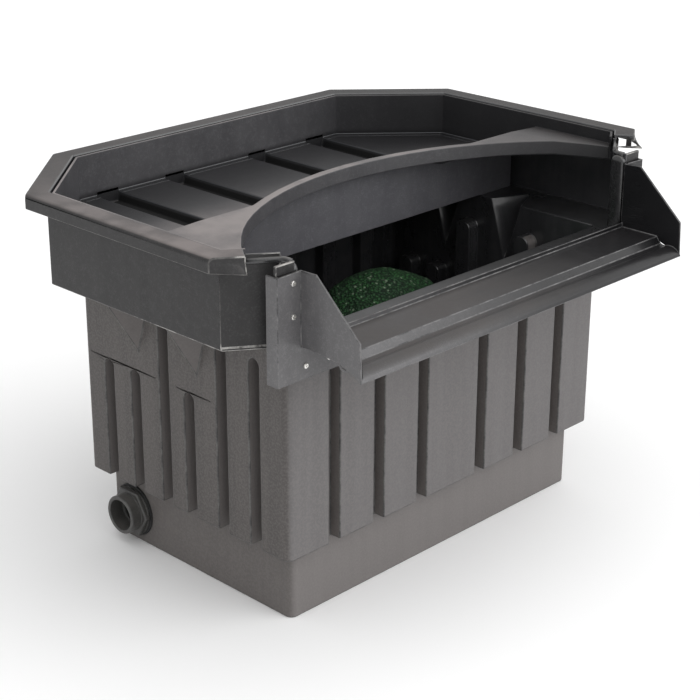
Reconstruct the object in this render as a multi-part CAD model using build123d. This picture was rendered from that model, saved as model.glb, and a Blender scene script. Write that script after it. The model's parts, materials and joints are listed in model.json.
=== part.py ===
from build123d import *
import os
from math import sqrt, sin, cos, radians

# Waterfall filter box for a garden pond, millimetres, +Z up.
# Origin: centre of the moulded base, on the floor. The spillway faces -Y.

# ---- tub: one thermoformed shell -------------------------------------------
SHEET = 6.0                      # shell thickness
BASE_X, BASE_Y, BASE_Z = 390.0, 246.0, 133.0      # plinth half sizes, height
BODY_X, BODY_Y = 420.0, 272.0    # ribbed body half sizes
LEDGE_Z = 541.0                  # underside of the ledge where the flare starts
FLARE_X, FLARE_BACK = 523.0, 382.0                # outer faces of the flare
FLARE_CUT_X, FLARE_CUT_Y = 347.0, 219.0           # ends of the back corner cuts
FRONT_CORNER_Y = -228.0          # where the side turns into the front cut
POST_X, POST_Y = 441.0, -283.0   # sheet centre at the edge of the front opening
FRAME_X, FRAME_Y = 480.0, -313.0  # turned-out mounting frame round the opening
FRAME_LOW, FRAME_TOP, SILL_Z = 488.0, 694.0, 552.0
WALL_TOP, RIM_Z = 702.0, 711.0
RIM_X, RIM_BACK, RIM_CUT_X, RIM_CUT_Y = 559.0, 418.0, 360.0, 232.0
RIM_SKIRT, RIM_SHEET = 26.0, 5.0
RIM_END, RIM_SPRING = (511.0, -279.0), 17.0       # free end of the rim, its skirt sprung out
CORNER_R = 14.0

# ribs: (centre, top height) of each groove, and the groove section
FRONT_GROOVES = [(-308, 470), (-196, 470), (-82, 470), (82, 470), (196, 470), (308, 470)]
SIDE_GROOVES = [(202, 374), (126, 374), (45, 488), (-22, 374), (-108, 488), (-191, 488)]
GROOVE_W, FRONT_DEPTH, SIDE_DEPTH = 26.0, 24.0, 28.0
GUSSETS = [113.0, -45.0]         # hollow gussets under the ledge, along Y
GUSSET_HALF, GUSSET_OUT, GUSSET_TIP = 40.0, 80.0, 412.0
CREASES, CREASE_Z, CREASE_H = [(68.0, 256.0), (-80.0, 10.0)], 375.0, 2.5   # lines joining groove tops

# ---- spillway moulding ------------------------------------------------------
SPILL_SHEET = 4.0
SPILL_X, SPILL_LOW, SPILL_TOP = 484.0, 491.0, 677.0
CHEEK_X = 429.0                  # inner face of each cheek
UPSTAND_Z, BED_Z, NOSE_Z = 561.0, 549.0, 523.0
NOSE_Y = -452.0
FOLD = 27.0                      # side returns of the flange
GASKET_T = 3.0

# ---- fasteners --------------------------------------------------------------
SCREW_D, HEAD_D, HEAD_T, SCREW_L = 5.0, 9.6, 3.2, 30.0
SCREWS = [(s * x, z) for x, z in ((450, 661), (450, 605)) for s in (-1, 1)]
SCREWS += [(s * x, 515) for x in (125, 250, 371, 424) for s in (-1, 1)] + [(0, 515)]
STRIP_T = 3.0

# ---- rock tray --------------------------------------------------------------
TRAY_SHEET = 5.0
TRAY_X, TRAY_BACK = 514.0, 373.0
TRAY_CUT_X, TRAY_CUT_Y = 343.0, 215.0
PLANK_Z, SLOT_DROP, TRAY_TOP = 624.0, 18.0, 708.5
SLOTS = [(86.0, 134.0), (250.0, 302.0)]           # mirrored in X
DECK_Z, DECK_FLAT_X, DECK_SIDE_Z, LIP_H = 696.0, 411.0, 684.0, 27.0
COVE_R = 14.0                    # hollow corner between the planks and the walls
RIDGE_Y = -64.0
ARC_A, ARC_B, ARC_Y = 542.0, 448.0, -4.0          # front edge ellipse
RAMP_RUN = 106.0
SCREEN_Y = 21.0                  # front face of the screen panel

# ---- inside ----------------------------------------------------------------
GRATE_Z, GRATE_T = BASE_Z + SHEET, 18.0
GRATE_X, GRATE_Y, GRATE_TAB_Y = 381.0, 237.0, 262.0
GRATE_FRAME, BAR_W, BARS_X, BARS_Y = 10.0, 6.0, 11, 13
GRATE_TABS = [(108.0, 170.0), (222.0, 282.0)]     # tabs that reach between the ribs
LEG_D, LEG_BORE = 22.0, 17.0
LEGS = [(x, y) for x in (-250.0, -12.5, 12.5, 250.0) for y in (-110.0, 110.0)]
MAT_X, MAT_Y, MAT_T = 381.0, 237.0, 38.0
BAG_X, BAG_Y, BAG_TOP = 62.0, -16.0, 478.0
BAG_ROWS = [(238, 170, 0), (250, 182, 60), (214, 150, 130), (150, 104, 195), (58, 42, 236)]
LAYER_GAP = 0.3                  # soft layers stand this far off what they lie on

# ---- inlet fitting -----------------------------------------------------------
INLET_Y, INLET_Z = 182.0, 62.0
BORE_D, THREAD_D, SOCKET_D, SOCKET_OD = 50.0, 66.0, 60.4, 76.0
HEX_AF, HEX_T, SOCKET_L, SOCKET_DEEP = 88.0, 10.0, 33.0, 30.0
GASKET_IN = 4.0


def prism(points, z0, z1):
    """Closed outline in XY, extruded from z0 to z1."""
    face = make_face(Polyline(*points, close=True))
    return Pos(0, 0, z0) * extrude(face, z1 - z0)


def slab_xz(points, y0, y1):
    """Closed outline in XZ, extruded from y0 to y1."""
    face = make_face(Plane.XZ * Polyline(*points, close=True))
    return Pos(0, y1, 0) * extrude(face, y1 - y0, dir=(0, -1, 0))


def slab_yz(points, x0, x1):
    """Closed outline in YZ, extruded from x0 to x1."""
    face = make_face(Plane.YZ * Polyline(*points, close=True))
    return Pos(x0, 0, 0) * extrude(face, x1 - x0, dir=(1, 0, 0))


def block(x0, x1, y0, y1, z0, z1):
    size = Box(abs(x1 - x0), abs(y1 - y0), abs(z1 - z0))
    return Pos((x0 + x1) / 2, (y0 + y1) / 2, (z0 + z1) / 2) * size


def side_offset(points, d):
    """The open line moved sideways by d, with mitred corners."""
    out = []
    for i, (x, y) in enumerate(points):
        normals = []
        for j in (i - 1, i):
            if 0 <= j < len(points) - 1:
                dx, dy = points[j + 1][0] - points[j][0], points[j + 1][1] - points[j][1]
                n = sqrt(dx * dx + dy * dy)
                normals.append((dy / n, -dx / n))
        nx, ny = sum(n[0] for n in normals), sum(n[1] for n in normals)
        k = (nx * nx + ny * ny) / len(normals)
        out.append((x + nx * d / k, y + ny * d / k))
    return out


def band(points, d0, d1):
    """Closed outline of a strip along the open line, from side offset d0 to d1."""
    return side_offset(points, d0) + side_offset(points, d1)[::-1]


def mirrored(points):
    """Right-hand half line followed by its left-hand mirror image."""
    return points + [(-x, y) for x, y in points[::-1]]


def union(shapes):
    out = shapes[0]
    for s in shapes[1:]:
        out = out + s
    return out


def rounded_box(hx, hy, z0, z1, r):
    solid = Pos(0, 0, (z0 + z1) / 2) * Box(2 * hx, 2 * hy, z1 - z0)
    return fillet(solid.edges().filter_by(Axis.Z), r)


# ---- tub --------------------------------------------------------------------
def groove(centre, top, width, depth, z0, face):
    """Vertical groove with a rounded top, cut inwards from x = face."""
    r = width / 2
    line = [(centre - r, z0), (centre + r, z0), (centre + r, top - r)]
    line += [(centre + r * cos(radians(a)), top - r + r * sin(radians(a))) for a in range(15, 180, 15)]
    line += [(centre - r, top - r)]
    return slab_yz(line, face - depth, face + 5)


def grooves(grow, z0):
    """All the grooves of the body; grow thickens them into the ribs seen inside."""
    cuts = []
    for turn, face, depth, rows in ((0, BODY_X, SIDE_DEPTH, SIDE_GROOVES),
                                    (180, BODY_X, SIDE_DEPTH, [(-y, t) for y, t in SIDE_GROOVES]),
                                    (90, BODY_Y, FRONT_DEPTH, FRONT_GROOVES),
                                    (-90, BODY_Y, FRONT_DEPTH, FRONT_GROOVES)):
        for c, top in rows:
            g = groove(c, top + grow, GROOVE_W + 2 * grow, depth + grow, z0, face)
            cuts.append(Rot(0, 0, turn) * g)
    return cuts


def gusset(side, yc, inset):
    """Hollow bracket under the flare: facets that meet at a point low on the side wall."""
    x, root = side * (BODY_X - 8), 8.0
    lean = GUSSET_OUT / (LEDGE_Z - GUSSET_TIP)
    top_z = LEDGE_Z + (SHEET + 1 if inset else 2)
    out = GUSSET_OUT + root + lean * (top_z - LEDGE_Z) - 2.2 * inset
    half = out * GUSSET_HALF / GUSSET_OUT
    sections = []
    for k, z in ((1.0, top_z), (0.02, top_z - 0.98 * out / lean)):
        corners = [(x, yc - k * half), (x, yc + k * half), (x + side * k * out, yc)]
        sections.append(Pos(0, 0, z) * make_face(Polyline(*corners, close=True)))
    return loft(sections, ruled=True)


def flare_half():
    return [(POST_X, POST_Y), (FLARE_X - 3, FRONT_CORNER_Y), (FLARE_X - 3, FLARE_CUT_Y - 1),
            (FLARE_CUT_X - 1, FLARE_BACK - 3)]


def rim():
    """Rolled rim with a turned-down skirt, stopped part way along each front cut."""
    outer = mirrored([RIM_END, (RIM_X, -246.0), (RIM_X, RIM_CUT_Y), (RIM_CUT_X, RIM_BACK)])
    inner = mirrored([(488.0, -246.5), (517.0, -226.3), (517.0, 216.6), (344.8, 376.0)])
    hang = mirrored([(491.3, -251.3), (524.0, -228.5), (524.0, 219.6), (347.4, 383.0)])
    skin = side_offset(outer, -RIM_SHEET)
    low = RIM_Z - RIM_SKIRT
    solid = prism(outer + inner[::-1], low, RIM_Z)
    edges = solid.edges().group_by(Axis.Z)[-1]
    edges = edges.filter_by(lambda e: max(abs(e.center().X) - 517, e.center().Y - 376) > 25)
    solid = fillet(edges, 9.0) - prism(skin + hang[::-1], low - 1, RIM_Z - SHEET)
    free = prism([skin[0], skin[1], outer[1], (RIM_X + 20, -265.0), (530.0, -310.0)], low - 1, RIM_Z - 9)
    sprung = rim_end(outer[:2], skin[:2], low, RIM_Z - 9)
    for piece, add in ((free, False), (sprung, True)):
        both = [piece, mirror(piece, Plane.YZ)]
        solid = union([solid] + both) if add else solid - both[0] - both[1]
    return solid


def rim_end(outer, skin, z0, z1):
    """Skirt of one front cut: upright at the corner, sprung outwards at its free end."""
    (xe, ye), (xc, yc) = outer
    length = sqrt((xc - xe) ** 2 + (yc - ye) ** 2)
    ox, oy = (yc - ye) / length * RIM_SPRING, -(xc - xe) / length * RIM_SPRING
    sections = []
    for (x, y), (u, v), k in ((outer[0], skin[0], 1.0), (outer[1], skin[1], 0.0)):
        corners = [(x, y, z1), (x + k * ox, y + k * oy, z0), (u + k * ox, v + k * oy, z0), (u, v, z1)]
        sections.append(make_face(Polyline(*corners, close=True)))
    return loft(sections, ruled=True)


def tub():
    base = rounded_box(BASE_X, BASE_Y, 0, BASE_Z + 1, CORNER_R)
    body = rounded_box(BODY_X, BODY_Y, BASE_Z, LEDGE_Z, CORNER_R)
    for cut in grooves(0.0, BASE_Z - 5):
        body = body - cut
    for side in (-1, 1):
        for y0, y1 in CREASES:
            body = body - block(side * (BODY_X - 1.5), side * (BODY_X + 1), y0, y1, CREASE_Z, CREASE_Z + CREASE_H)
    brackets = [(side, yc) for side in (-1, 1) for yc in GUSSETS]
    ledge_line = mirrored([(POST_X + 3, FRAME_Y), (POST_X + 3, POST_Y - 2)] +
                          side_offset(flare_half(), 3)[1:])
    ledge = prism(ledge_line, LEDGE_Z, LEDGE_Z + SHEET)
    wall = prism(band(mirrored(flare_half()), 3, -3), LEDGE_Z, WALL_TOP + 4)
    wall = wall - block(-500, 500, -400, -246.5, WALL_TOP, 720)
    hole_line = [(-FRAME_X, FRAME_LOW), (FRAME_X, FRAME_LOW), (FRAME_X, FRAME_TOP),
                 (POST_X - 3, FRAME_TOP), (POST_X - 3, SILL_Z), (-POST_X + 3, SILL_Z),
                 (-POST_X + 3, FRAME_TOP), (-FRAME_X, FRAME_TOP)]
    frame = slab_xz(hole_line, FRAME_Y, FRAME_Y + SHEET)
    frame = fillet(frame.edges().filter_by(Axis.Y).sort_by(Axis.Z)[:2], 12)
    posts = [block(s * (POST_X - 3), s * (POST_X + 3), FRAME_Y + 1, POST_Y + 2, LEDGE_Z, FRAME_TOP)
             for s in (-1, 1)]
    shell = union([base, body, ledge, wall, frame] + posts + [rim()] + [gusset(*at, 0.0) for at in brackets])
    hollow = rounded_box(BODY_X - SHEET, BODY_Y - SHEET, BASE_Z + SHEET, LEDGE_Z + SHEET + 1, 9)
    for rib in grooves(SHEET, BASE_Z):
        hollow = hollow - rib
    for at in brackets:
        hollow = hollow + gusset(*at, SHEET)
    hollow = hollow + block(-BODY_X + 60, BODY_X - 60, -BODY_Y + 60, BODY_Y - 60, 200, 560)
    low = rounded_box(BASE_X - SHEET, BASE_Y - SHEET, SHEET, BASE_Z + SHEET + 1, 9)
    shell = shell - hollow - low
    for x, z in SCREWS:
        shell = shell - Pos(x, FRAME_Y + 3, z) * Rot(90, 0, 0) * Cylinder(2.6, 20)
    port = Pos(-BASE_X + 3, INLET_Y, INLET_Z) * Rot(0, 90, 0) * Cylinder(THREAD_D / 2 + 0.5, 30)
    return shell - port


# ---- spillway -----------------------------------------------------------------
def spill_profile():
    """Upper line of the trough from the flange forwards to the drip nose."""
    line = [(-318.0, BED_Z), (-398.0, BED_Z - 0.5), (-406.0, 536.5), (-413.0, 534.0), (-420.0, 534.0)]
    line += [(-427.0, 536.5), (-435.0, 536.5), (-442.0, 534.0), (-447.5, 529.5), (-450.0, NOSE_Z)]
    return line


def spillway():
    t = SPILL_SHEET
    y0 = FRAME_Y - GASKET_T - t
    flange = [(-SPILL_X, SPILL_LOW), (SPILL_X, SPILL_LOW), (SPILL_X, SPILL_TOP), (CHEEK_X, SPILL_TOP + 1),
              (CHEEK_X, UPSTAND_Z), (-CHEEK_X, UPSTAND_Z), (-CHEEK_X, SPILL_TOP + 1), (-SPILL_X, SPILL_TOP)]
    parts = [slab_xz(flange, y0, y0 + t)]
    for s in (-1, 1):
        parts.append(block(s * (SPILL_X - t), s * SPILL_X, y0, y0 + FOLD, SPILL_LOW, SPILL_TOP))
        cheek = [(-318.0, 552.0), (-318.0, SPILL_TOP + 1), (-353.0, 679.0), (-449.0, 590.0),
                 (NOSE_Y, 528.0), (NOSE_Y + 1, NOSE_Z), (-444.0, 527.0), (-436.0, 532.0), (-405.0, 544.6)]
        parts.append(slab_yz(cheek, min(s * CHEEK_X, s * (CHEEK_X + t)), max(s * CHEEK_X, s * (CHEEK_X + t))))
    trough = slab_yz(band(spill_profile(), 0, t)[::-1], -CHEEK_X - t, CHEEK_X + t)
    solid = union(parts + [trough])
    for x, z in SCREWS:
        solid = solid - Pos(x, y0 + 2, z) * Rot(90, 0, 0) * Cylinder(2.6, 20)
    return solid


def gasket():
    y1 = FRAME_Y
    edge = [(-FRAME_X + 3, FRAME_LOW + 6), (FRAME_X - 3, FRAME_LOW + 6), (FRAME_X - 3, 674.0),
            (POST_X - 3, 674.0), (POST_X - 3, SILL_Z), (-POST_X + 3, SILL_Z), (-POST_X + 3, 674.0),
            (-FRAME_X + 3, 674.0)]
    solid = slab_xz(edge, y1 - GASKET_T, y1)
    for x, z in SCREWS:
        solid = solid - Pos(x, y1 - 1, z) * Rot(90, 0, 0) * Cylinder(2.6, 20)
    return solid


# ---- fasteners ------------------------------------------------------------------
def screw():
    """Pan-head screw along +Y from the origin, head on the -Y side, cross recess."""
    head = Pos(0, -HEAD_T / 2, 0) * Rot(90, 0, 0) * Cylinder(HEAD_D / 2, HEAD_T)
    head = fillet(head.edges().sort_by(Axis.Y)[0], 1.4)
    for turn in (0, 90):
        head = head - Pos(0, -HEAD_T + 0.7, 0) * Rot(0, turn, 0) * Box(5.0, 1.8, 1.1)
    shank = Pos(0, SCREW_L / 2, 0) * Rot(90, 0, 0) * Cylinder(SCREW_D / 2, SCREW_L)
    return head + chamfer(shank.edges().sort_by(Axis.Y)[-1], 0.8)


def ring(outer, inner, thick):
    """Flat washer along +Y from the origin."""
    solid = Cylinder(outer / 2, thick) - Cylinder(inner / 2, thick + 2)
    return Pos(0, thick / 2, 0) * Rot(90, 0, 0) * solid


def nut():
    hexagon = extrude(RegularPolygon(4.6, 6), 4.0) - Cylinder(SCREW_D / 2, 20)
    return Pos(0, 4.0, 0) * Rot(90, 0, 0) * hexagon


def at_screws(piece, y):
    return Compound(children=[Pos(x, y, z) * piece for x, z in SCREWS])


def backing_strip(x0, x1, z0, z1):
    y0 = FRAME_Y + SHEET
    solid = block(x0, x1, y0, y0 + STRIP_T, z0, z1)
    solid = fillet(solid.edges().filter_by(Axis.Y), 4)
    for x, z in SCREWS:
        solid = solid - Pos(x, y0, z) * Rot(90, 0, 0) * Cylinder(2.6, 20)
    return solid


# ---- rock tray --------------------------------------------------------------------
def arc_y(x):
    return ARC_Y - ARC_B * (1 - sqrt(1 - (x / ARC_A) ** 2))


def ridge_y(x):
    """Back edge of the deck: straight, but pushed back by the arc in the middle."""
    return max(RIDGE_Y, arc_y(x) + 8)


def deck_drop(x):
    return max(0.0, (abs(x) - DECK_FLAT_X) / (TRAY_X - DECK_FLAT_X) * (DECK_Z - DECK_SIDE_Z))


ARC_XS = [482.0 * sin(radians(a)) for a in range(-90, 91, 6)]
RIDGE_XS = [-TRAY_X + 2, -DECK_FLAT_X, -330, -285, -240, -190, -130, -65, 0]
RIDGE_XS = RIDGE_XS + [-x for x in RIDGE_XS[-2::-1]]


def deck_layer(z_up, z_down, region):
    """The roof-shaped deck layer between two heights under its top, inside a region."""
    xs = [-TRAY_X, -DECK_FLAT_X, DECK_FLAT_X, TRAY_X]
    top = [(x, DECK_Z - deck_drop(x) + z_up) for x in xs]
    low = [(x, DECK_Z - deck_drop(x) + z_down) for x in xs]
    return slab_xz(top + low[::-1], -330, 120) & region


def cove(start, end):
    """Hollow fillet between a plank and the wall, its corner along start to end."""
    along = Vector(*end, 0) - Vector(*start, 0)
    inward = Vector(-along.Y, along.X, 0).normalized()
    arc = [(COVE_R * (1 + cos(radians(a))), COVE_R * (1 + sin(radians(a)))) for a in range(270, 179, -15)]
    place = Plane(origin=(*start, PLANK_Z), x_dir=inward, z_dir=-along)
    face = place * make_face(Polyline((-1, -1), (COVE_R, -1), *arc, (-1, COVE_R), close=True))
    return extrude(face, along.length, dir=along)


def coves():
    x, y, cx, cy = TRAY_X - TRAY_SHEET, TRAY_BACK - TRAY_SHEET, TRAY_CUT_X - 2, TRAY_CUT_Y - 2
    (a, b), (c, d) = SLOTS
    right = [((x, RIDGE_Y + RAMP_RUN), (x, cy)), ((x, cy), (cx, y)), ((cx, y), (d, y)), ((c, y), (b, y))]
    pieces = [cove(p, q) for p, q in right]
    return pieces + [mirror(piece, Plane.YZ) for piece in pieces] + [cove((a, y), (-a, y))]


def rock_tray():
    t = TRAY_SHEET
    arc = [(x, arc_y(x)) for x in ARC_XS]
    slope = (DECK_Z - PLANK_Z) / RAMP_RUN
    back = [(x, ridge_y(x) + 7 + deck_drop(x) / slope) for x in RIDGE_XS]
    sides = [(-TRAY_X, -225.0), (-TRAY_X, back[0][1])], [(TRAY_X, back[-1][1]), (TRAY_X, -225.0)]
    deck = deck_layer(0, -t, prism(arc + sides[1][::-1] + back[::-1] + sides[0][::-1], 500, 800))
    lip = deck_layer(0, -LIP_H, prism(arc + [(x, y + t) for x, y in arc[::-1]], 500, 800))
    strip = [(x, ridge_y(x)) for x in RIDGE_XS] + [(x, ridge_y(x) + 8) for x in RIDGE_XS[::-1]]
    flat = Pos(0, 0, DECK_Z) * make_face(Polyline(*strip, close=True))
    run = sqrt(RAMP_RUN ** 2 + (DECK_Z - PLANK_Z) ** 2)
    ramp = extrude(flat, run, dir=(0, RAMP_RUN, PLANK_Z - DECK_Z))
    xs = [-TRAY_X, -DECK_FLAT_X, DECK_FLAT_X, TRAY_X]
    above = [(x, DECK_Z - deck_drop(x)) for x in xs] + [(TRAY_X, 740), (-TRAY_X, 740)]
    ramp = ramp - slab_xz(above, -330, 120)
    top, low = [(-TRAY_X, PLANK_Z)], [(-TRAY_X, PLANK_Z - t)]
    for s, rows in ((-1, SLOTS[::-1]), (1, SLOTS)):
        for a, b in rows:
            x0, x1 = (s * b, s * a) if s < 0 else (a, b)
            z = PLANK_Z - SLOT_DROP
            top += [(x0, PLANK_Z), (x0 + 4, z), (x1 - 4, z), (x1, PLANK_Z)]
            low += [(x0 - t, PLANK_Z - t), (x0 - t + 4, z - t), (x1 + t - 4, z - t), (x1 + t, PLANK_Z - t)]
    top, low = top + [(TRAY_X, PLANK_Z)], low + [(TRAY_X, PLANK_Z - t)]
    front = [(x, ridge_y(x) + RAMP_RUN) for x in RIDGE_XS]
    room = front + [(TRAY_X, RIDGE_Y + RAMP_RUN), (TRAY_X, TRAY_CUT_Y), (TRAY_CUT_X, TRAY_BACK),
                    (-TRAY_CUT_X, TRAY_BACK), (-TRAY_X, TRAY_CUT_Y), (-TRAY_X, RIDGE_Y + RAMP_RUN)]
    floor = slab_xz(top + low[::-1], -60, TRAY_BACK) & prism(room, 500, 800)
    ends = slab_xz([(x, z) for x, z in ((-310, PLANK_Z - SLOT_DROP - t), (310, PLANK_Z - SLOT_DROP - t),
                                        (310, PLANK_Z), (-310, PLANK_Z))], -60, TRAY_BACK)
    shut = [(x, ridge_y(x) + RAMP_RUN - 1) for x in RIDGE_XS if abs(x) <= 330]
    shut = prism(shut + [(x, y + t) for x, y in shut[::-1]], 500, 800)
    shut = shut & ends
    rear = ends & block(-310, 310, TRAY_BACK - t, TRAY_BACK, 500, 800)
    half = [(482.0, -246.9), (TRAY_X, -225.0), (TRAY_X, TRAY_CUT_Y), (TRAY_CUT_X, TRAY_BACK)]
    ring_line = mirrored(half)
    wall = prism(band(ring_line, 0, -t), PLANK_Z - t, TRAY_TOP)
    below = [(-320, DECK_SIDE_Z - 24), (-320, 500), (100, 500), (100, PLANK_Z - t),
             (RIDGE_Y + RAMP_RUN, PLANK_Z - t), (RIDGE_Y + 12, DECK_SIDE_Z - 8)]
    wall = wall - slab_yz(below, -600, 600)
    return union([floor, wall, deck, lip, ramp, shut, rear] + coves())


def tray_screen():
    """Flat panel under the tray that stands on the ledges and carries its front."""
    x = TRAY_X - TRAY_SHEET - 0.5
    plate = block(-x, x, SCREEN_Y, SCREEN_Y + 5, LEDGE_Z + SHEET, PLANK_Z)
    slab = block(-x, x, SCREEN_Y, SCREEN_Y + 5, PLANK_Z - 1, DECK_Z)
    under = [(x, ridge_y(x)) for x in RIDGE_XS] + [(x, ridge_y(x) - 160) for x in RIDGE_XS[::-1]]
    flat = Pos(0, 0, DECK_Z) * make_face(Polyline(*under, close=True))
    run = sqrt(RAMP_RUN ** 2 + (DECK_Z - PLANK_Z) ** 2) + 20
    solid = plate + (slab & extrude(flat, run, dir=(0, RAMP_RUN, PLANK_Z - DECK_Z)))
    return solid - block(-BODY_X + 4, BODY_X - 4, 0, 60, 500, LEDGE_Z + SHEET + 1)


# ---- filter media -------------------------------------------------------------------
def grate(side):
    """Half of the support grate: a frame with bars both ways and tabs between the ribs."""
    x0, x1, y, f = 1.0, GRATE_X, GRATE_Y, GRATE_FRAME
    z0, z1, w = GRATE_Z, GRATE_Z + GRATE_T, BAR_W / 2
    parts = [block(x0, x1, -y, -y + f, z0, z1), block(x0, x1, y - f, y, z0, z1),
             block(x0, x0 + f, -y, y, z0, z1), block(x1 - f, x1, -y, y, z0, z1)]
    for i in range(1, BARS_X):
        c = x0 + f / 2 + (x1 - x0 - f) * i / BARS_X
        parts.append(block(c - w, c + w, -y, y, z0, z1))
    for i in range(1, BARS_Y):
        c = -y + f / 2 + (2 * y - f) * i / BARS_Y
        parts.append(block(x0, x1, c - w, c + w, z0 + 4, z1))
    for a, b in GRATE_TABS:
        parts += [block(a, b, s * (y - 1), s * GRATE_TAB_Y, z0, z0 + 10) for s in (-1, 1)]
    solid = union(parts)
    return solid if side > 0 else mirror(solid, Plane.YZ)


def grate_legs():
    """Tubular legs that hold the middle of the grate up from the floor of the tub."""
    height = GRATE_Z - SHEET
    tube = Pos(0, 0, SHEET + height / 2) * (Cylinder(LEG_D / 2, height) - Cylinder(LEG_BORE / 2, height + 2))
    return Compound(children=[Pos(x, y, 0) * tube for x, y in LEGS])


def mat(z0):
    solid = block(-MAT_X, MAT_X, -MAT_Y, MAT_Y, z0, z0 + MAT_T)
    return fillet(solid.edges().filter_by(Axis.Z), 12)


def media_bag(z0):
    """Plain closed form of the heaped media bag: stacked, shrinking ovals."""
    k = (BAG_TOP - z0) / BAG_ROWS[-1][2]
    return loft([Pos(BAG_X, BAG_Y, z0 + dz * k) * Ellipse(a, b) for a, b, dz in BAG_ROWS], ruled=True)


# ---- inlet fitting ----------------------------------------------------------------------
def on_inlet(shape, x):
    """Place a shape built along +Z so that it points along -X from the plinth wall."""
    return Pos(x, INLET_Y, INLET_Z) * Rot(0, -90, 0) * shape


def fitting():
    """Threaded body, hexagon collar and glue socket; z = 0 is the collar's inner face."""
    hexagon = extrude(Rot(0, 0, 30) * RegularPolygon(HEX_AF / 2 / cos(radians(30)), 6), HEX_T)
    hexagon = chamfer(hexagon.edges().group_by(Axis.Z)[-1], 2.0)
    disc = Pos(0, 0, 2.0) * Cylinder(48.0, 4.0)
    barrel = Pos(0, 0, SOCKET_L / 2) * Cylinder(SOCKET_OD / 2, SOCKET_L)
    barrel = chamfer(barrel.edges().group_by(Axis.Z)[-1], 1.5)
    thread = Pos(0, 0, -18) * Cylinder(THREAD_D / 2, 36)
    solid = union([disc, Pos(0, 0, 2) * hexagon, barrel, thread])
    solid = solid - Cylinder(BORE_D / 2, 120)
    return solid - Pos(0, 0, SOCKET_L - SOCKET_DEEP + 20) * Cylinder(SOCKET_D / 2, 40)


def inlet_nut():
    hexagon = extrude(RegularPolygon(HEX_AF / 2 / cos(radians(30)), 6), 14)
    hexagon = chamfer(hexagon.edges().group_by(Axis.Z)[-1], 1.5)
    return hexagon - Cylinder(THREAD_D / 2, 60)


def flat_ring(outer, inner, thick):
    return Pos(0, 0, thick / 2) * (Cylinder(outer / 2, thick) - Cylinder(inner / 2, thick + 2))


WALL_OUT, WALL_IN = -BASE_X, -BASE_X + SHEET
MAT_Z = [GRATE_Z + GRATE_T + LAYER_GAP + i * (MAT_T + LAYER_GAP) for i in range(2)]
NUT_Y = FRAME_Y + SHEET + STRIP_T

nodes = {
    "tub": tub,
    "spillway": spillway,
    "spillway_gasket": gasket,
    "spillway_screws": lambda: at_screws(screw(), FRAME_Y - GASKET_T - SPILL_SHEET),
    "spillway_washers": lambda: at_screws(ring(10.8, 5.2, 1.2), NUT_Y),
    "spillway_nuts": lambda: at_screws(nut(), NUT_Y + 1.2),
    "backing_strip_left": lambda: backing_strip(-476, -445, 560, 688),
    "backing_strip_right": lambda: backing_strip(445, 476, 560, 688),
    "backing_strip_bottom": lambda: backing_strip(-470, 470, 500, 530),
    "rock_tray": rock_tray,
    "tray_screen": tray_screen,
    "grate_left": lambda: grate(-1),
    "grate_right": lambda: grate(1),
    "grate_legs": grate_legs,
    "filter_mat_lower": lambda: mat(MAT_Z[0]),
    "filter_mat_upper": lambda: mat(MAT_Z[1]),
    "media_bag": lambda: media_bag(MAT_Z[1] + MAT_T + LAYER_GAP),
    "inlet_fitting": lambda: on_inlet(fitting(), WALL_OUT - GASKET_IN),
    "inlet_gasket": lambda: on_inlet(flat_ring(104, THREAD_D + 0.4, GASKET_IN), WALL_OUT),
    "inlet_washer": lambda: on_inlet(flat_ring(94, THREAD_D + 0.4, 2.0), WALL_IN + 2.0),
    "inlet_nut": lambda: on_inlet(inlet_nut(), WALL_IN + 16.0),
}

os.makedirs("parts", exist_ok=True)
for name, make in nodes.items():
    shape = make()
    shape.label = name
    export_step(shape, f"parts/{name}.step")
    print(name, round(shape.volume / 1000, 1), "cm3")
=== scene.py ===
"""Looks of the waterfall filter box: softened mouldings, filter media, finishes, light and camera."""
import json
from math import pi, radians
import bmesh
import bpy
import numpy as np
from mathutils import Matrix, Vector
from mathutils.bvhtree import BVHTree
from mathutils.kdtree import KDTree


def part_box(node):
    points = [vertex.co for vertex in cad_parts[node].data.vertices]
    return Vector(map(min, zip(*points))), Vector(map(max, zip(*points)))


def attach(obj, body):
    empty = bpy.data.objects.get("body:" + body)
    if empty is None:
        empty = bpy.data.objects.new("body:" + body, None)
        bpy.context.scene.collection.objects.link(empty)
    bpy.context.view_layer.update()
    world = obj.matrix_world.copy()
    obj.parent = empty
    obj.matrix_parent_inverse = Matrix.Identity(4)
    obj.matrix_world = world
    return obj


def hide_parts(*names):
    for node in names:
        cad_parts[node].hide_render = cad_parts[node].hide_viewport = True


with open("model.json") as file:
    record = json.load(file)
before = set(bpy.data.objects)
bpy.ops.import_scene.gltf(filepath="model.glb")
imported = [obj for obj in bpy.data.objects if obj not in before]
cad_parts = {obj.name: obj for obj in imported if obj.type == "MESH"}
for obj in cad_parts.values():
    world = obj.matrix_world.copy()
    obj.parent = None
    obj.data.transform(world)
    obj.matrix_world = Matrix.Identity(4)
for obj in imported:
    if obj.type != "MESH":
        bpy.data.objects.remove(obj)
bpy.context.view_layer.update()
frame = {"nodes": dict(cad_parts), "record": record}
NODES = frame["nodes"]


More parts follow.
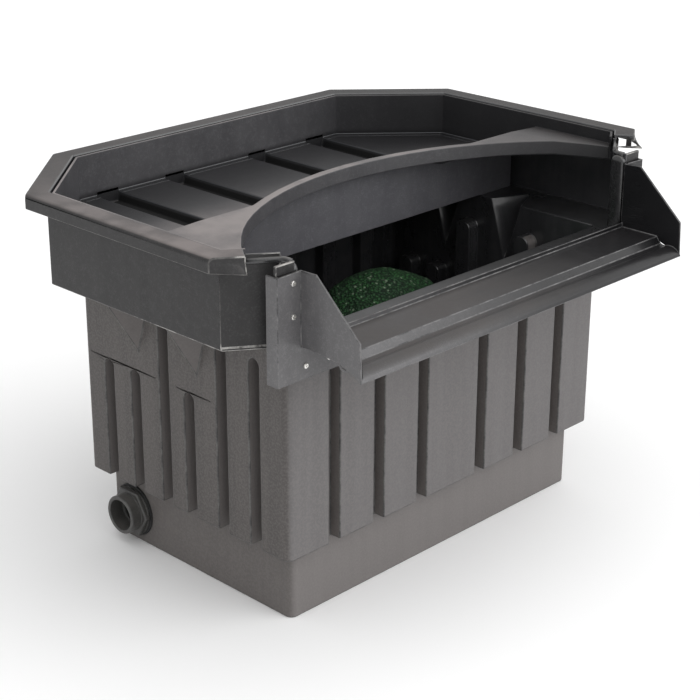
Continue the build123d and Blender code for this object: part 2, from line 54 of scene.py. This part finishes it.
# ---- places on the tray and the tub, in metres ---------------------------------------
PLANK_TOP = 0.624                       # top face of the rock tray's planks
TRAY_BACK = 0.368                       # inner face of its back wall
FLARE_LOW = 0.542                       # lower edge of the tub's flare
PLINTH_TOP = 0.134                      # top of the tub's plinth
GROOVE_X, GROOVE_Y = 0.398, 0.250       # a body wall nearer the middle than this is in a groove
RIM_END_X, RIM_END_Y = 0.522, -0.272    # cut end of the rim at the front opening
RIM_END_Z = 0.665                       # and the height above which it is rubbed
WALL_TOP = 0.6966                       # top of the rolled front wall
LEDGE = 0.5425                          # ledge that the rolled posts stand on


# ---- shader maths --------------------------------------------------------------------
class Value:
    """One output of a finish's nodes; arithmetic on it adds Math nodes."""

    def __init__(self, finish, socket):
        self.finish, self.socket = finish, socket

    def math(self, operation, *terms):
        return self.finish.node("ShaderNodeMath", {"operation": operation}, dict(enumerate(terms)))["Value"]

    def __add__(self, other): return self.math("ADD", self, other)
    def __radd__(self, other): return self.math("ADD", other, self)
    def __sub__(self, other): return self.math("SUBTRACT", self, other)
    def __rsub__(self, other): return self.math("SUBTRACT", other, self)
    def __mul__(self, other): return self.math("MULTIPLY", self, other)
    def __rmul__(self, other): return self.math("MULTIPLY", other, self)
    def __abs__(self): return self.math("ABSOLUTE", self)
    def above(self, other): return self.math("MAXIMUM", self, other)
    def below(self, other): return self.math("MINIMUM", self, other)

    def rise(self, low, high):
        """0 under low, 1 over high, smooth between; high may be the smaller one."""
        turned = low > high
        out = self.finish.node("ShaderNodeMapRange", {"interpolation_type": "SMOOTHSTEP"},
                               {0: self, 1: min(low, high), 2: max(low, high), 3: 0.0, 4: 1.0})["Result"]
        return 1 - out if turned else out


class Finish:
    """A material under construction, on Object coordinates in metres."""

    def __init__(self, name):
        self.material = bpy.data.materials.new(name)
        self.material.use_nodes = True
        self.tree = self.material.node_tree
        self.tree.nodes.clear()
        self.place = self.node("ShaderNodeTexCoord")["Object"]
        parts = self.node("ShaderNodeSeparateXYZ", {}, {0: self.place})
        self.x, self.y, self.z = parts["X"], parts["Y"], parts["Z"]
        normal = self.node("ShaderNodeNewGeometry")["Normal"]
        parts = self.node("ShaderNodeSeparateXYZ", {}, {0: normal})
        self.nx, self.ny, self.up = parts["X"], parts["Y"], parts["Z"]

    def node(self, kind, settings=None, inputs=None):
        """Add a node; settings go on it first, inputs are values or links; returns its outputs by name."""
        made = self.tree.nodes.new(kind)
        for key, value in (settings or {}).items():
            setattr(made, key, value)
        for key, value in (inputs or {}).items():
            if isinstance(value, Value):
                self.tree.links.new(value.socket, made.inputs[key])
            else:
                made.inputs[key].default_value = value
        return {o.name: Value(self, o) for o in made.outputs if o.enabled}

    def noise(self, scale, detail=3.0, stretch=(1, 1, 1), shift=0.0):
        """Cloudy noise; shift moves it aside so that two of one scale differ."""
        aside = (shift, shift * 0.7, shift * 1.3)
        where = self.node("ShaderNodeMapping", {}, {
            "Vector": self.place, "Location": aside, "Scale": stretch})["Vector"]
        return self.node("ShaderNodeTexNoise", {}, {
            "Vector": where, "Scale": scale, "Detail": detail, "Roughness": 0.55})["Fac"]

    def cells(self, scale):
        return self.node("ShaderNodeTexVoronoi", {}, {"Vector": self.place, "Scale": scale})

    def blend(self, mask, first, second):
        """The first colour where the mask is 0, the second where it is 1."""
        rgba = [c if isinstance(c, Value) else (*c, 1.0) for c in (first, second)]
        return self.node("ShaderNodeMix", {"data_type": "RGBA"}, {0: mask, 6: rgba[0], 7: rgba[1]})["Result"]

    def done(self, color, rough, height=None, depth=0.001, metallic=0.0, coat=0.0, coat_rough=0.2,
             specular=0.5):
        """Close the finish with one shader; height is raised by depth metres as a bump."""
        sockets = {"Base Color": color if isinstance(color, Value) else (*color, 1.0), "Roughness": rough,
                   "Metallic": metallic, "Coat Weight": coat, "Coat Roughness": coat_rough,
                   "Specular IOR Level": specular}
        if height is not None:
            sockets["Normal"] = self.node("ShaderNodeBump", {}, {
                "Strength": 1.0, "Distance": depth, "Height": height})["Normal"]
        shader = self.node("ShaderNodeBsdfPrincipled", {}, sockets)["BSDF"]
        self.node("ShaderNodeOutputMaterial", {}, {"Surface": shader})
        return self.material


def scratches(f, scale, turn, shift):
    """Thin broken lines: a noise stretched along one way, cut at its crest, gated by a second one."""
    where = f.node("ShaderNodeMapping", {}, {
        "Vector": f.place, "Rotation": (turn, turn * 0.6, turn * 1.7),
        "Location": (shift, shift, shift), "Scale": (scale, scale * 0.05, scale)})
    lines = f.node("ShaderNodeTexNoise", {}, {"Vector": where["Vector"], "Scale": 1.0, "Detail": 1.0})["Fac"]
    return abs(lines - 0.5).rise(0.012, 0.003) * f.noise(9.0, 2.0, shift=shift + 3).rise(0.52, 0.66)


def moulded(name, dark, light, dusty, dust_at=0.9, rough=0.46, grain=0.16, coat=0.0, wear_and_light=None, shine=0.35,
            mottled=0.16):
    """Thermoformed plastic: mottled colour, fine leather grain, draw marks, scratches, dust on top faces.

    grain is the height of the leather grain in mm. A function given for wear changes colour, dust and
    roughness from place to place; those of the tub, tray and spillway also paint light and shade into the
    colour.
    """
    f = Finish(name)
    cloud = f.noise(3.4, 4.0) * 0.55 + f.noise(19.0, 4.0, shift=4) * 0.45
    draw = f.noise(34.0, 3.0, stretch=(1, 1, 0.08), shift=9)
    color = f.blend((cloud * 0.7 + draw * 0.3).rise(0.36, 0.64), dark, light)
    rubs = scratches(f, 420.0, 0.35, 2.0).above(scratches(f, 300.0, 1.2, 7.0))
    color = f.blend(rubs * 0.22, color, tuple(min(1.0, c * 2.3) for c in light))
    dust = f.up.rise(0.55, 0.98) * (0.45 + 0.55 * f.noise(11.0, 5.0, shift=6).rise(0.3, 0.62)) * dust_at
    mottle = f.noise(330.0, 4.0, shift=15) * 0.6 + f.noise(95.0, 4.0, shift=17) * 0.4
    color = f.blend(mottle.rise(0.47, 0.66) * mottled, color, tuple(min(1.0, 2.2 * c + 0.05) for c in light))
    roughness = rough + (cloud - 0.5) * 0.22 - rubs * 0.08
    # the function may paint light and shade into the colour as well as wear
    if wear_and_light:
        color, dust, roughness = wear_and_light(f, color, dust, roughness)
    color = f.blend(dust, color, dusty)
    pebble = f.noise(1050.0, 2.0) * 0.6 + f.cells(520.0)["Distance"] * 0.5
    height = pebble * grain + f.noise(24.0, 2.0, shift=1) * 0.5 - rubs * 0.06
    return f.done(color, roughness + dust * 0.2, height, 0.001, coat=coat, coat_rough=0.25, specular=shine)


def tray_painted_light(f, color, dust, roughness):
    """Tray: painted shade makes the slots near black and matt, the planks darker towards the back and the
    whole tray darker to the right, with their dust taken away there; a painted highlight lies in the hollow
    corners.
    """
    slot = f.z.rise(PLANK_TOP - 0.0015, PLANK_TOP - 0.008) * f.y.rise(TRAY_BACK - 0.0005, TRAY_BACK - 0.006)
    plank = f.z.rise(PLANK_TOP + 0.016, PLANK_TOP + 0.003) * (1 - slot)
    leaning = f.up.rise(0.12, 0.4) * f.up.rise(0.85, 0.55)
    level = f.z.rise(PLANK_TOP + 0.022, PLANK_TOP + 0.016) * f.z.rise(PLANK_TOP - 0.006, PLANK_TOP + 0.002)
    corner = leaning * level
    # painted shade: plank tops darker towards the back wall
    color = f.blend(plank * f.y.rise(0.0, 0.26) * 0.85, color, (0.010, 0.010, 0.011))
    # painted shade: the tray darker towards the right, standing for a dark reflection
    color = f.blend(f.x.rise(0.12, 0.5) * 0.8, color, (0.010, 0.010, 0.011))
    # painted highlight: the hollow corners paler and bluish
    color = f.blend(corner * 0.7, color, (0.13, 0.135, 0.145))
    # painted shade: the slots near black
    color = f.blend(slot, color, (0.003, 0.003, 0.003))
    # painted shade: dust thinned at the backs of the planks, in the slots and towards the right, so these
    # read darker
    dust_kept_and_shade = (1 - plank * f.y.rise(0.02, 0.2)) * (1 - slot) * (1 - 0.85 * f.x.rise(0.0, 0.5))
    return color, dust * dust_kept_and_shade, roughness - corner * 0.12 + slot * 0.4


def tub_tone_and_light(f, color, dust, roughness):
    """Tub: body paler below the flare; painted light makes its front faces paler still and lifts the groove
    walls; less dust towards the back, and painted shade to the right, where less dust is left.
    """
    body = f.z.rise(FLARE_LOW, FLARE_LOW - 0.012)
    front = f.ny.rise(-0.6, -0.95) * body
    side = abs(f.nx).rise(0.5, 0.9)
    on_side = abs(f.ny).rise(0.5, 0.9) * abs(f.y).rise(GROOVE_Y + 0.012, GROOVE_Y)
    groove = (on_side + side * abs(f.x).rise(GROOVE_X + 0.01, GROOVE_X)) * body
    plinth = f.z.rise(PLINTH_TOP + 0.006, PLINTH_TOP - 0.006)
    streak = f.noise(60.0, 3.0, stretch=(1, 1, 0.03), shift=12).rise(0.35, 0.65)
    color = f.blend(body * (0.55 - 0.3 * plinth + 0.14 * streak), color, (0.112, 0.101, 0.096))
    # painted light: front faces of the body paler, standing for the sheen light puts on them
    color = f.blend(front * (0.66 - 0.04 * plinth + 0.1 * streak), color, (0.140, 0.134, 0.136))
    # painted light: groove walls paler, lifting them out of the shade of the deep grooves
    color = f.blend(groove.below(1.0) * 0.55, color, (0.17, 0.155, 0.148))
    grain = f.noise(260.0, 4.0, shift=21).rise(0.4, 0.64) * body
    color = f.blend(grain * 0.22, color, (0.21, 0.195, 0.188))
    # less dust towards the back; the cut towards the right is painted shade, darker where less dust is left
    dust_kept_and_shade = (1 - 0.75 * f.y.rise(0.0, 0.36)) * (1 - 0.85 * f.x.rise(0.0, 0.5))
    return color, dust * dust_kept_and_shade, roughness + body * 0.08


def spill_painted_shade(f, color, dust, roughness):
    """Spillway: painted shade darkens it to near black towards the right end; upward faces are darkened part
    way everywhere; dust thins out to the right.
    """
    # painted shade: near black towards the right end, part way on upward faces
    spill_shade_mask = f.x.rise(-0.40, 0.12).above(f.up.rise(0.6, 0.9) * 0.55)
    color = f.blend(spill_shade_mask * 0.94, color, (0.006, 0.006, 0.007))
    # less dust to the right, adding to the painted shade there
    return color, dust * (1 - 0.9 * f.x.rise(-0.2, 0.3)), roughness


def rubbed_most(f):
    """Where the tub is scuffed hardest: the flare's lower edge at the front left, and the rim's cut ends."""
    level = f.z.rise(FLARE_LOW - 0.010, FLARE_LOW - 0.004) * f.z.rise(FLARE_LOW + 0.014, FLARE_LOW + 0.008)
    flare = level * f.y.rise(0.02, -0.03) * f.x.rise(-0.3, -0.4)
    end = f.y.rise(RIM_END_Y + 0.006, RIM_END_Y) * abs(f.x).rise(RIM_END_X + 0.008, RIM_END_X)
    return flare.above(f.z.rise(RIM_END_Z - 0.010, RIM_END_Z) * end)


def scuffed(name, color, pale, rough, least, where=None):
    """Rubbed edge of a moulding: paler and smoother than its faces, in broken patches.

    least is how strong the patches are in general; they are full where the mask of where is 1.
    """
    f = Finish(name)
    patch = f.noise(38.0, 5.0).rise(0.38, 0.62) * 0.7 + f.noise(210.0, 3.0, shift=5).rise(0.4, 0.6) * 0.3
    patch = patch * (least if where is None else (where(f) * (1 - least) + least))
    return f.done(f.blend(patch, color, pale), rough + (1 - patch) * 0.12, f.noise(600.0, 2.0) * 0.15, 0.001)


# ---- pieces --------------------------------------------------------------------------
def on_body(node):
    """The body that a CAD node rides on."""
    return next(b for b, members in frame["record"]["behaviour"]["bodies"].items() if node in members)


def dressed(node, material):
    """A CAD node kept as it is, with a better material."""
    mesh = NODES[node].data
    mesh.materials.clear()
    mesh.materials.append(material)


def edge_room(edges, widest):
    """Roll width for each sharp edge: a share of the gap to the next edge beside it.

    Where more than two sharp edges meet, the same share of the edge's own length is a limit too.
    """
    share, step = 0.3, 0.008
    spots = []
    for e in edges:
        a, b = (v.co for v in e.verts)
        steps = max(1, int((b - a).length / step))
        spots += [(a.lerp(b, (k + 0.5) / steps), e) for k in range(steps)]
    tree = KDTree(len(spots))
    for i, (p, _) in enumerate(spots):
        tree.insert(p, i)
    tree.balance()
    room = {e: widest for e in edges}
    for p, e in spots:
        way = (e.verts[1].co - e.verts[0].co).normalized()
        for q, i, gap in tree.find_range(p, widest / share):
            other = spots[i][1]
            if other is not e and gap > 1e-6 and abs((q - p).dot(way)) < 0.5 * gap \
                    and not set(other.verts) & set(e.verts):
                room[e] = min(room[e], share * gap)
    for e in edges:
        if any(sum(o in room for o in v.link_edges) > 2 for v in e.verts):
            room[e] = min(room[e], share * e.calc_length())
    return room


def sees_the_middle(mesh):
    """For each face, whether nothing of the mesh stands between it and the middle of the tub.

    The ray leaves the face's largest triangle and keeps its height, but stays under the rim.
    """
    clear, under_rim = 0.0008, 0.66
    tree = BVHTree.FromPolygons([v.co for v in mesh.vertices], [p.vertices for p in mesh.polygons])
    mesh.calc_loop_triangles()
    first = {}
    for t in mesh.loop_triangles:
        if t.area > first.get(t.polygon_index, (0.0,))[0]:
            first[t.polygon_index] = (t.area, t)
    seen = np.zeros(len(mesh.polygons), bool)
    for index, (_, t) in first.items():
        start = sum((mesh.vertices[v].co for v in t.vertices), Vector()) / 3 + t.normal * clear
        goal = Vector((0.2 * start.x, 0.0, min(start.z, under_rim)))
        seen[index] = tree.ray_cast(start, (goal - start).normalized(), (goal - start).length)[0] is None
    return seen


def softened(node, width, finishes, angle=32, segments=3):
    """A copy of a CAD node with doubles merged and edges rolled over as far as each has room.

    width is the widest roll and angle the least sharp edge that gets one, in degrees. finishes are the
    face, the rolled edge and, if there is a third, the faces turned to the middle.
    """
    bm = bmesh.new()
    bm.from_mesh(NODES[node].data)
    bmesh.ops.remove_doubles(bm, verts=bm.verts, dist=2e-5)
    bmesh.ops.dissolve_limit(bm, angle_limit=radians(1.0), verts=bm.verts, edges=bm.edges)
    bmesh.ops.connect_verts_concave(bm, faces=bm.faces)
    layer = bm.edges.layers.float.new("bevel_weight_edge")
    sharp = [e for e in bm.edges if len(e.link_faces) == 2 and e.calc_face_angle(0) > radians(angle)]
    for e, room in edge_room(sharp, width).items():
        e[layer] = room / width
    mesh = bpy.data.meshes.new(node + "_rough")
    bm.to_mesh(mesh)
    skin = BVHTree.FromBMesh(bm)
    bm.free()
    mesh.polygons.foreach_set("use_smooth", np.ones(len(mesh.polygons), bool))
    mesh.polygons.foreach_set("material_index", np.zeros(len(mesh.polygons), np.int32))
    mesh.materials.clear()
    for finish in finishes:
        mesh.materials.append(finish)
    rough = bpy.data.objects.new(node + "_rough", mesh)
    bpy.context.scene.collection.objects.link(rough)
    roll = rough.modifiers.new("edges", "BEVEL")
    roll.width, roll.segments, roll.limit_method = width, segments, "WEIGHT"
    roll.material, roll.use_clamp_overlap, roll.loop_slide = 1, False, False
    flat = rough.modifiers.new("faces", "WEIGHTED_NORMAL")
    flat.keep_sharp = False
    bpy.context.view_layer.update()
    final = bpy.data.meshes.new_from_object(rough.evaluated_get(bpy.context.evaluated_depsgraph_get()))
    bpy.data.objects.remove(rough)
    for v in final.vertices:                        # a corner that was thrown off comes back to the skin
        near, _, _, gap = skin.find_nearest(v.co)
        if gap > width * 0.75:
            v.co = near
    if len(finishes) > 2:
        index = np.zeros(len(final.polygons), np.int32)
        final.polygons.foreach_get("material_index", index)
        final.polygons.foreach_set("material_index", np.where(sees_the_middle(final), 2, index))
    final.name = node + "_moulding"
    piece = bpy.data.objects.new(node + "_moulding", final)
    bpy.context.scene.collection.objects.link(piece)
    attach(piece, on_body(node))
    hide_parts(node)


def surface(name, points, material, body):
    """A mesh from a grid of points (rows, columns, 3), the last column joined to the first."""
    rows, cols = points.shape[:2]
    i, j = np.meshgrid(np.arange(rows - 1), np.arange(cols), indexing="ij")
    k = (j + 1) % cols
    quads = np.stack([i * cols + j, i * cols + k, (i + 1) * cols + k, (i + 1) * cols + j], -1).reshape(-1, 4)
    mesh = bpy.data.meshes.new(name)
    mesh.from_pydata(points.reshape(-1, 3), [], quads)
    bm = bmesh.new()
    bm.from_mesh(mesh)
    bmesh.ops.remove_doubles(bm, verts=bm.verts, dist=1e-6)
    bmesh.ops.recalc_face_normals(bm, faces=bm.faces)
    bm.to_mesh(mesh)
    bm.free()
    mesh.polygons.foreach_set("use_smooth", np.ones(len(mesh.polygons), bool))
    mesh.materials.append(material)
    piece = bpy.data.objects.new(name, mesh)
    bpy.context.scene.collection.objects.link(piece)
    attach(piece, body)
    return piece


def waves(seed, count, low, high, *coords):
    """Sum of count sines of the coordinates with random turn, phase and length: smooth, repeatable lumps."""
    draw = np.random.default_rng(seed)
    total = np.zeros_like(coords[0])
    for _ in range(count):
        way = draw.normal(size=len(coords))
        way *= draw.uniform(low, high) / np.linalg.norm(way)
        total += np.sin(sum(w * c for w, c in zip(way, coords)) + draw.uniform(0, 2 * pi))
    return total / np.sqrt(count)


def sweep(rows, cols):
    """The two parameters of a closed surface: a column t from 0 to 1, and a row of angles once round."""
    return np.linspace(0, 1, rows)[:, None], np.linspace(0, 2 * pi, cols, endpoint=False)[None, :]


def superellipse(angle, power):
    """Radius at each angle of |x|^power + |y|^power = 1."""
    return (np.abs(np.cos(angle)) ** power + np.abs(np.sin(angle)) ** power) ** (-1 / power)


# ---- finishes ------------------------------------------------------------------------
tub_face = moulded("tub_polyethylene", (0.016, 0.0155, 0.016), (0.026, 0.025, 0.0255), (0.21, 0.186, 0.180),
                   wear_and_light=tub_tone_and_light)
tub_edge = scuffed("tub_worn_edge", (0.038, 0.036, 0.036), (0.42, 0.41, 0.39), 0.4, 0.2, rubbed_most)
# painted shade: the tub's plastic for the faces turned to the middle, kept near black without the paler body
# tone, with dark in place of dust on upward faces
tub_shaded_inside = moulded("tub_inside_painted_shade", (0.028, 0.028, 0.030), (0.050, 0.050, 0.053), (0.02, 0.02, 0.02),
                    rough=0.2, grain=0.03, coat=0.8, shine=0.5, mottled=0.0)
post_face = moulded("rolled_post", (0.018, 0.018, 0.019), (0.03, 0.03, 0.031), (0.10, 0.095, 0.09),
                    rough=0.22, grain=0.03, coat=0.5, shine=0.5)
spill_face = moulded("spillway_abs", (0.092, 0.090, 0.093), (0.118, 0.115, 0.118), (0.062, 0.055, 0.052),
                     dust_at=0.7, rough=0.3, grain=0.05, wear_and_light=spill_painted_shade)
spill_edge = scuffed("spillway_worn_edge", (0.035, 0.035, 0.037), (0.42, 0.41, 0.41), 0.3, 0.3)
tray_face = moulded("tray_polyethylene", (0.052, 0.051, 0.055), (0.070, 0.069, 0.073), (0.26, 0.235, 0.228),
                    rough=0.4, wear_and_light=tray_painted_light)
screen_face = moulded("screen_panel", (0.080, 0.079, 0.088), (0.098, 0.097, 0.106), (0.12, 0.11, 0.10),
                      grain=0.1)
strip_face = moulded("backing_strip", (0.03, 0.03, 0.03), (0.045, 0.045, 0.045), (0.08, 0.07, 0.07))
grate_face = moulded("grate_polypropylene", (0.014, 0.014, 0.015), (0.022, 0.022, 0.023), (0.04, 0.04, 0.035))
pvc = moulded("fitting_pvc", (0.040, 0.039, 0.037), (0.060, 0.058, 0.055), (0.10, 0.095, 0.09), rough=0.3,
              grain=0.03, shine=0.5)
pvc_edge = scuffed("fitting_edge", (0.035, 0.034, 0.033), (0.14, 0.14, 0.135), 0.28, 0.5)
leg_pvc = moulded("leg_pipe", (0.22, 0.22, 0.225), (0.28, 0.28, 0.285), (0.3, 0.29, 0.27),
                  rough=0.35, grain=0.03)
nylon = moulded("washer_nylon", (0.04, 0.04, 0.04), (0.06, 0.06, 0.06), (0.08, 0.08, 0.08))


def rubber_finish():
    """Gasket rubber: matt, with a pale bloom in clouds."""
    f = Finish("gasket_rubber")
    bloom = f.noise(45.0, 4.0).rise(0.35, 0.7)
    return f.done(f.blend(bloom, (0.018, 0.018, 0.019), (0.04, 0.039, 0.038)), 0.72 + bloom * 0.15,
                  f.noise(900.0, 2.0) * 0.3, 0.001)


def steel_finish():
    """Stainless heads: turned rings read as fine noise, tarnish in patches."""
    f = Finish("stainless")
    tarnish = f.noise(420.0, 4.0).rise(0.4, 0.7)
    return f.done(f.blend(tarnish, (0.86, 0.85, 0.82), (0.55, 0.53, 0.5)), 0.2 + tarnish * 0.2,
                  f.noise(2600.0, 2.0) * 0.04, 0.001, metallic=0.85)


def media_finish():
    """Bagged green media: pea-sized granules under a fine net, pale chips, and painted shade in the gaps
    between granules.
    """
    f = Finish("green_media")
    grains = f.cells(190.0)
    gap = grains["Distance"].rise(0.25, 0.75)
    tint = f.node("ShaderNodeSeparateColor", {}, {0: grains["Color"]})
    shade = f.noise(16.0, 4.0).rise(0.3, 0.7)
    color = f.blend(tint["Red"], (0.010, 0.036, 0.012), (0.027, 0.10, 0.030))
    color = f.blend(shade * 0.55, color, (0.018, 0.03, 0.022))
    color = f.blend(tint["Green"].rise(0.93, 0.96), color, (0.13, 0.19, 0.12))
    # painted shade: the gaps between granules near black
    color = f.blend(gap * 0.75, color, (0.003, 0.006, 0.004))
    return f.done(color, 0.7 + gap * 0.2, (1 - gap) * 1.6 + f.noise(700.0, 2.0) * 0.5, 0.0016, specular=0.2)


def mat_finish():
    """Open fibre matting: crossed strands, with painted shade in the pores between them."""
    f = Finish("fibre_mat")
    along = f.noise(170.0, 3.0, stretch=(1, 0.25, 1))
    strands = along.above(f.noise(170.0, 3.0, stretch=(0.25, 1, 1), shift=5))
    pore_shade = strands.rise(0.62, 0.5)
    # painted shade: the pores between strands near black
    color = f.blend(pore_shade, (0.045, 0.05, 0.047), (0.006, 0.007, 0.006))
    return f.done(color, 0.8 + pore_shade * 0.1, strands * 3.0, 0.0015)


rubber, steel, media, matting = rubber_finish(), steel_finish(), media_finish(), mat_finish()

# ---- mouldings -----------------------------------------------------------------------
# the third finish is the painted-shade copy for the faces turned to the middle
softened("tub", 0.0055, (tub_face, tub_edge, tub_shaded_inside))
softened("spillway", 0.0016, (spill_face, spill_edge))
softened("rock_tray", 0.0026, (tray_face, tray_face))
softened("tray_screen", 0.0012, (screen_face, screen_face))
for strip in ("backing_strip_left", "backing_strip_right", "backing_strip_bottom"):
    softened(strip, 0.0008, (strip_face, strip_face))
for half in ("grate_left", "grate_right"):
    softened(half, 0.0008, (grate_face, grate_face), segments=1)
softened("inlet_fitting", 0.0012, (pvc, pvc_edge))
softened("inlet_nut", 0.0012, (pvc, pvc_edge))
for fastener in ("spillway_screws", "spillway_washers", "spillway_nuts"):
    dressed(fastener, steel)
dressed("spillway_gasket", rubber)
dressed("inlet_gasket", rubber)
dressed("inlet_washer", nylon)
dressed("grate_legs", leg_pvc)


# ---- filter media --------------------------------------------------------------------
def media_bag():
    """Heaped bag: ovals stacked from a flat underside to a crown, with a rounded foot and lumps.

    An oval's reach at height h (0 to 1) is 0.8 times the root of 1 - h^2.4, plus 0.2 times 1 - h, plus a
    bell-shaped swelling near the foot, less a small draw-in at the very bottom. The lumps are sums of
    sines, large and small, pushed along the radius and, near the top, upwards.
    """
    low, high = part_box("media_bag")
    t, a = sweep(150, 300)
    cx, cy = (low.x + high.x) / 2, (low.y + high.y) / 2
    half_x, half_y, tall = (high.x - low.x) / 2 - 0.012, (high.y - low.y) / 2 - 0.010, high.z - low.z - 0.008
    base = 0.12                                     # share of the rows spent on the flat underside
    height = np.clip((t - base) / (1 - base), 0, 1) ** 1.05
    crown = np.sqrt(np.clip(1 - height ** 2.4, 0, 1)) * 0.8 + 0.2 * (1 - height)
    reach = np.where(t < base, t / base * 0.95, crown)
    foot = np.exp(-((height - 0.10) / 0.10) ** 2) * 0.05 * (t >= base)
    reach = np.clip(reach + foot - 0.03 * (t >= base) * (1 - height) * np.exp(-height / 0.02), 0, 1.0)
    x, y, z = half_x * reach * np.cos(a), half_y * reach * np.sin(a), tall * height + 0 * a
    lump = waves(11, 26, 12, 46, x, y, z * 1.2) * 0.0045 + waves(12, 40, 90, 240, x, y, z) * 0.0011
    away = np.clip(height * 8, 0, 1)
    size = 1 + lump * away / np.maximum(np.hypot(x, y), 0.05)
    x, y, z = x * size, y * size, z + lump * away * np.clip(height * 2 - 0.6, 0, 1)
    points = np.stack([cx + x + 0 * z, cy + y, low.z + 0.0005 + np.clip(z, 0, tall + 0.006)], -1)
    piece = surface("media_bag_heap", points, media, "media_bag")
    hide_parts("media_bag")


def filter_mat(node):
    """Thick matting: a superellipse outline (power 14) with a rounded rim and lumpy faces.

    The height on the side is a sine raised to 0.55; the side draws in at mid height by a squared cosine; a
    sum of sines makes both faces uneven.
    """
    low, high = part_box(node)
    half, centre = (high - low) / 2, (low + high) / 2
    t, a = sweep(96, 360)
    s = 2 * t - 1
    far, rim = np.abs(s), 0.35                      # rim: share of the rows spent on the side
    ring = superellipse(a, 14)
    reach = np.where(far > rim, (1 - far) / (1 - rim), 1.0)
    z = np.sign(s) * np.where(far > rim, 1.0, np.sin(np.clip(far / rim, 0, 1) * pi / 2) ** 0.55)
    x, y = (half.x - 0.002) * reach * ring * np.cos(a), (half.y - 0.002) * reach * ring * np.sin(a)
    pull = 1 - 0.006 * np.cos(s / rim * pi / 2) ** 2 * (far < rim)
    level = centre.z + z * (half.z - 0.0022) + waves(21, 30, 20, 90, x, y, z * 0.02) * 0.0009 + 0 * a
    points = np.stack([centre.x + x * pull, centre.y + y * pull, np.clip(level, low.z, high.z)], -1)
    piece = surface(node + "_fibre", points, matting, on_body(node))
    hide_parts(node)


def front_post(name, side):
    """Rolled end of the wall sheet: a superellipse column (power 3) whose top closes as a quarter circle."""
    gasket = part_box("spillway_gasket")[1]           # its top, back corner: the frame's face lies behind it
    half_x, half_y, cap = 0.0082, 0.0150, 0.013
    middle_x, middle_y = side * 0.4362, gasket.y + 0.0155
    neck = gasket.z + 0.016 - cap                   # where the column ends and the cap starts
    t, a = sweep(60, 72)
    base, shaft = 0.04, 0.6                         # shares of the rows up to the foot's rim and the neck
    turn = np.clip((t - shaft) / (1 - shaft), 0, 1) * pi / 2
    reach = np.where(t < base, t / base, np.cos(turn))
    z = LEDGE + (neck - LEDGE) * np.clip((t - base) / (shaft - base), 0, 1) + cap * np.sin(turn)
    ring = superellipse(a, 3)
    x = middle_x + half_x * reach * ring * np.cos(a)
    y = middle_y + half_y * reach * ring * np.sin(a)
    surface(name, np.stack([x, y, z + 0 * a], -1), post_face, "box")


def wall_bead(name, side):
    """Rolled top of the front wall: a circle carried along two straight runs joined by a quadratic bend."""
    radius = 0.0056
    start, corner, end = np.array([[0.5197, -0.2303], [0.4395, -0.2858], [0.4395, -0.3055]])
    into, out = corner + (start - corner) * 0.2, corner + (end - corner) * 0.6
    t = np.linspace(0, 1, 14)[:, None]
    bend = (1 - t) ** 2 * into + 2 * t * (1 - t) * corner + t ** 2 * out
    line = np.concatenate([[start + (start - into) * 0.01, start], bend, [end, end + (end - out) * 0.05]])
    way = np.gradient(line, axis=0)
    way /= np.linalg.norm(way, axis=1, keepdims=True)
    a = np.linspace(0, 2 * pi, 20, endpoint=False)
    reach = np.ones(len(line))
    reach[[0, -1]] = 0.0
    across = (reach * radius)[:, None] * np.cos(a)
    x = side * (line[:, :1] - way[:, 1:] * across)      # the left one is the right one mirrored
    y = line[:, 1:] + way[:, :1] * across
    z = WALL_TOP - radius + (reach * radius)[:, None] * np.sin(a)
    surface(name, np.stack([x, y, z], -1), post_face, "box")


media_bag()
for hand, side in (("left", -1), ("right", 1)):
    front_post("front_post_" + hand, side)
    wall_bead("wall_bead_" + hand, side)
filter_mat("filter_mat_lower")
filter_mat("filter_mat_upper")


# ---- floor, light and camera ---------------------------------------------------------
def studio():
    """Plain pale floor, white surroundings, and two broad lamps: one above, one before the spillway."""
    floor = bpy.data.meshes.new("studio_floor")
    r = 60.0                                        # half the floor's side
    floor.from_pydata([(-r, -r, 0), (r, -r, 0), (r, r, 0), (-r, r, 0)], [], [(0, 1, 2, 3)])
    f = Finish("studio_paper")
    floor.materials.append(f.done(f.blend(f.noise(2.0), (0.96, 0.96, 0.96), (0.98, 0.98, 0.98)), 0.9))
    ground = bpy.data.objects.new("studio_floor", floor)
    bpy.context.scene.collection.objects.link(ground)
    world = bpy.data.worlds.new("studio")
    world.use_nodes = True
    surroundings = world.node_tree.nodes["Background"].inputs
    surroundings["Color"].default_value = (1.0, 1.0, 1.0, 1.0)
    surroundings["Strength"].default_value = 0.68
    bpy.context.scene.world = world
    for name, turn, spread, power in (
            ("sky_panel", (radians(30), radians(12), 0), 100, 1.6),
            ("front_panel", (radians(68), 0, radians(28)), 60, 0.75)):
        lamp = bpy.data.lights.new(name, "SUN")
        lamp.angle, lamp.energy = radians(spread), power
        holder = bpy.data.objects.new(name, lamp)
        holder.rotation_euler = turn
        bpy.context.scene.collection.objects.link(holder)


def camera():
    """Seen from the front left, a little above."""
    lens = bpy.data.cameras.new("camera")
    lens.sensor_width, lens.lens = 36.0, 87.16
    lens.shift_x, lens.shift_y = 0.0282, -0.0219
    holder = bpy.data.objects.new("camera", lens)
    holder.location = (-2.1737, -2.1172, 1.5572)
    holder.rotation_euler = Vector((0.6595, 0.6562, -0.3669)).to_track_quat("-Z", "Y").to_euler()
    bpy.context.scene.collection.objects.link(holder)
    bpy.context.scene.camera = holder


studio()
camera()
bpy.context.scene.view_settings.view_transform = "Standard"
